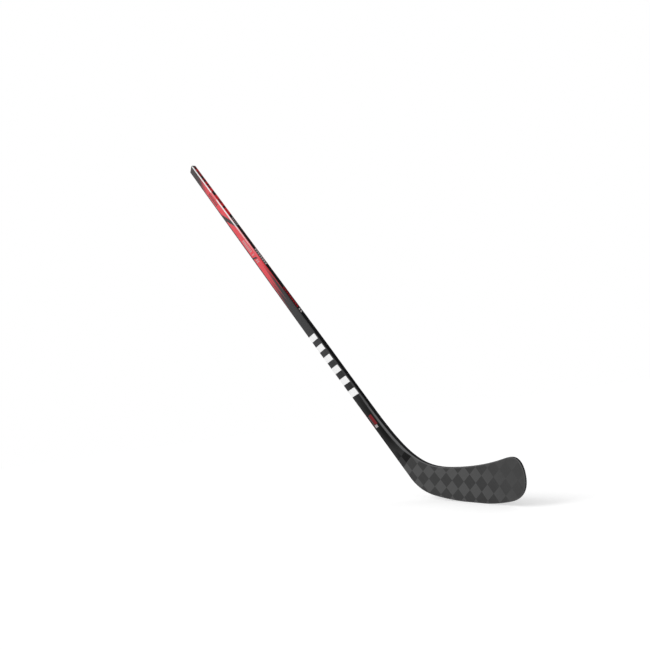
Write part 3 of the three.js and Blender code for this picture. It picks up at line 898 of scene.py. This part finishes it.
def blade_material():
    """Bare weave on the blade, which the neck's paint covers higher up, with narrow edges painted
    darker as shade.
    """
    material = Material("weave_laminate", Specular_IOR_Level=0.03)
    wrap = Wrap(material)
    color, fibre, gap, light, second = weave(material, wrap)
    attribute = wrap.below.node("Attribute", {}, attribute_name="from_top")
    from_top = Field(wrap.below.tree, attribute.outputs["Fac"])
    # Weave squares that show in the painted dark reflection
    squares = light * second.rise(*NEAR_PAINT_END) * from_top.rise(*SQUARES_ACROSS)
    # The neck's painted reflection and highlight lie over the paint
    painted = neck_painted_reflection(wrap, from_top, paint(material, wrap), squares)
    cover = second.rise(NECK_PAINT_END - NECK_PAINT_SOFT, NECK_PAINT_END, 1.0, 0.0)
    color = color.over(cover, painted)
    # Painted shade: the narrow edges get the darker black
    rim = wrap.flat.rise(*RIM_FACING, 1.0, 0.0)
    # Painted highlight along the rounding of the blade's edges
    edge_glint = wrap.flat.band(*EDGE_GLINT_FACING).without(cover)
    color = color.over(edge_glint * EDGE_GLINT_COVER, GLINT)
    # Painted light: the toe's edge is lighter low down
    toe_light = wrap.x.rise(*TOE_LIGHT_X) * wrap.z.rise(*TOE_LIGHT_Z, 1.0, 0.0)
    color = color.over(rim, material.plain(SHADED_SIDE_BLACK).over(toe_light, BLACK))
    material.feed("Base Color", color)
    rough = fibre * FIBRE_ROUGHNESS + WEAVE_ROUGHNESS
    material.feed("Roughness", rough.without(cover * GLOSS_ROUGHNESS))
    height = gap * GAP_HEIGHT + fibre * FIBRE_HEIGHT
    material.bump(height, WEAVE_RIPPLE, WEAVE_RIPPLE_STRENGTH)
    return material.data


CLOUD_SIZE = 12  # in grains
SPECK_RANGE, SPECK_SHARE = (0.35, 0.65), 0.6
GRAIN_STRENGTH = 0.6


def plain_material(name, dark, light, grain, low, high, bump):
    """A moulded, foamed or rubbery material: two tones by a fine grain, with a matching bump."""
    material = Material(name)
    speck = material.place.noise((grain * MM,) * 3, detail=4.0)
    cloud = material.place.noise((grain * MM * CLOUD_SIZE,) * 3, detail=3.0)
    mottle = speck.rise(*SPECK_RANGE) * SPECK_SHARE + cloud.rise(*NOISE_RANGE) * (1 - SPECK_SHARE)
    material.feed("Base Color", material.plain(dark).over(mottle, light))
    material.feed("Roughness", speck.rise(*NOISE_RANGE, low, high))
    material.bump(speck, bump, GRAIN_STRENGTH)
    return material.data


RAW_DARK, RAW_LIGHT = (0.012, 0.012, 0.013), (0.035, 0.035, 0.037)
RAW_GRAIN = (0.03, 0.0006, 0.0006)  # in metres
RAW_ROUGHNESS = (0.45, 0.7)
RAW_RIPPLE, RAW_RIPPLE_STRENGTH = 0.05, 0.5


def raw_laminate_material():
    """Uncoated laminate, with its fibres along the shaft."""
    material = Material("raw_laminate", Specular_IOR_Level=0.4)
    turn = float(np.arctan2(UP[2], -UP[0]))
    grain = material.place.noise(RAW_GRAIN, detail=3.0, turn=turn)
    color = material.plain(RAW_DARK).over(grain.rise(*NOISE_RANGE), RAW_LIGHT)
    material.feed("Base Color", color)
    material.feed("Roughness", grain.rise(*NOISE_RANGE, *RAW_ROUGHNESS))
    material.bump(grain, RAW_RIPPLE, RAW_RIPPLE_STRENGTH)
    return material.data


def dress(target, material):
    """Makes this the object's only material."""
    target.data.materials.clear()
    target.data.materials.append(material)


# Dark and light tone, grain in millimetres, roughness from and to, and height of the bump
FOAM = ((0.6, 0.55, 0.45), (0.75, 0.71, 0.62), 1.1, 0.85, 1.0, 0.2)
ELASTOMER = ((0.03, 0.027, 0.024), (0.06, 0.054, 0.048), 2, 0.7, 0.9, 0.1)
CAP_PLASTIC = ((0.012, 0.012, 0.013), (0.02, 0.02, 0.021), 0.7, 0.5, 0.65, 0.05)


def dress_inside():
    """The pieces inside keep their CAD shapes, and get materials of their own."""
    foam = plain_material("foam", *FOAM)
    elastomer = plain_material("elastomer", *ELASTOMER)
    raw = raw_laminate_material()
    inside = {
        foam: ("butt_foam_dam", "neck_foam", "core_upper", "core_lower", "core_toe"),
        raw: ("tenon", "heel_web", "centre_rib", "toe_web"),
        elastomer: ("heel_block",),
    }
    for material, nodes in inside.items():
        for node in nodes:
            for place in bpy.data.objects[node].material_slots:
                place.material = material


# ---- Stage ----

CAMERA_PLACE = (944.65, -817.01, 174.08)
CAMERA_HEADING, CAMERA_PITCH, CAMERA_ROLL = radians(149.3), radians(8.06), radians(-7.9)
CAMERA_LENS, CAMERA_SENSOR = 37.69, 36

AMBIENT = 0.55  # strength of the world's even light
# A sun's name, the way its light goes, its strength, and its width in degrees
SUNS = (
    ("key", (0.35, 0.75, -0.6), 1.1, 40),
    ("fill", (-0.6, 0.7, -0.35), 0.5, 60),
)
FLOOR_RADIUS, FLOOR_SIDES = 60, 96  # radius in metres
FLOOR_TONE = (0.8, 0.8, 0.8, 1)
FLOOR_GLOW = 0.4  # light that the floor gives off to the camera, which lifts it to white
WHITE_LIGHT = (1, 1, 1, 1)


def make_camera():
    """The camera that looks up at the stick from low down beside the toe."""
    camera = bpy.data.objects.new("camera", bpy.data.cameras.new("camera"))
    bpy.context.scene.collection.objects.link(camera)
    camera.data.lens = CAMERA_LENS
    camera.data.sensor_width = CAMERA_SENSOR
    heading = Matrix.Rotation(CAMERA_HEADING - pi / 2, 4, "Z")
    pitch = Matrix.Rotation(pi / 2 + CAMERA_PITCH, 4, "X")
    roll = Matrix.Rotation(CAMERA_ROLL, 4, "Z")
    camera.matrix_world = Matrix.Translation(Vector(CAMERA_PLACE) * MM) @ (heading @ pitch) @ roll
    bpy.context.scene.camera = camera


def make_sun(name, towards, strength, width):
    """A soft lamp at infinity, which shines along a direction."""
    lamp = bpy.data.lights.new(name, "SUN")
    lamp.energy = strength
    lamp.angle = radians(width)
    sun = bpy.data.objects.new(name, lamp)
    sun.rotation_euler = Vector(towards).to_track_quat("-Z", "Y").to_euler()
    bpy.context.scene.collection.objects.link(sun)


def seen_directly(tree):
    """1 for camera, glossy and transmission rays, which see the plain white background."""
    rays = tree.nodes.new("ShaderNodeLightPath")
    seen = Field(tree, rays.outputs["Is Camera Ray"])
    seen = seen.most(Field(tree, rays.outputs["Is Glossy Ray"]))
    return seen.most(Field(tree, rays.outputs["Is Transmission Ray"]))


def make_world():
    """Even white light, and a background that the camera sees as plain white."""
    world = bpy.data.worlds.new("world")
    world.use_nodes = True
    bpy.context.scene.world = world
    tree = world.node_tree
    strength = seen_directly(tree) * (1.0 - AMBIENT) + AMBIENT
    background = tree.nodes["Background"]
    background.inputs["Color"].default_value = WHITE_LIGHT
    tree.links.new(strength.socket, background.inputs["Strength"])


def make_floor():
    """A pale floor, which the camera sees as white with the stick's soft shadow on it."""
    turns = np.linspace(0, 2 * pi, FLOOR_SIDES, endpoint=False)
    points = [(FLOOR_RADIUS * cos(turn), FLOOR_RADIUS * sin(turn), 0) for turn in turns]
    mesh = bpy.data.meshes.new("floor")
    mesh.from_pydata(points, [], [tuple(range(len(points)))])
    floor = bpy.data.objects.new("floor", mesh)
    bpy.context.scene.collection.objects.link(floor)
    material = Material("floor", Roughness=1.0, Specular_IOR_Level=0.0)
    material.shader.inputs["Base Color"].default_value = FLOOR_TONE
    material.shader.inputs["Emission Color"].default_value = WHITE_LIGHT
    material.feed("Emission Strength", seen_directly(material.tree) * FLOOR_GLOW)
    dress(floor, material.data)


bpy.context.scene.view_settings.view_transform = "Standard"
make_camera()
make_world()
for sun in SUNS:
    make_sun(*sun)
make_floor()

wide_paint, side_paint = shaft_materials()
laminate = blade_material()
cap = plain_material("cap_plastic", *CAP_PLASTIC)
shaft = make_shaft()
dress(shaft, wide_paint)
shaft.data.materials.append(side_paint)
for face in shaft.data.polygons:
    face.material_index = int(abs(face.normal @ Vector(ACROSS)) > NARROW_FACING)
dress(make_cap(), cap)
for piece in make_rails() + make_skins():
    dress(piece, laminate)
dress_inside()
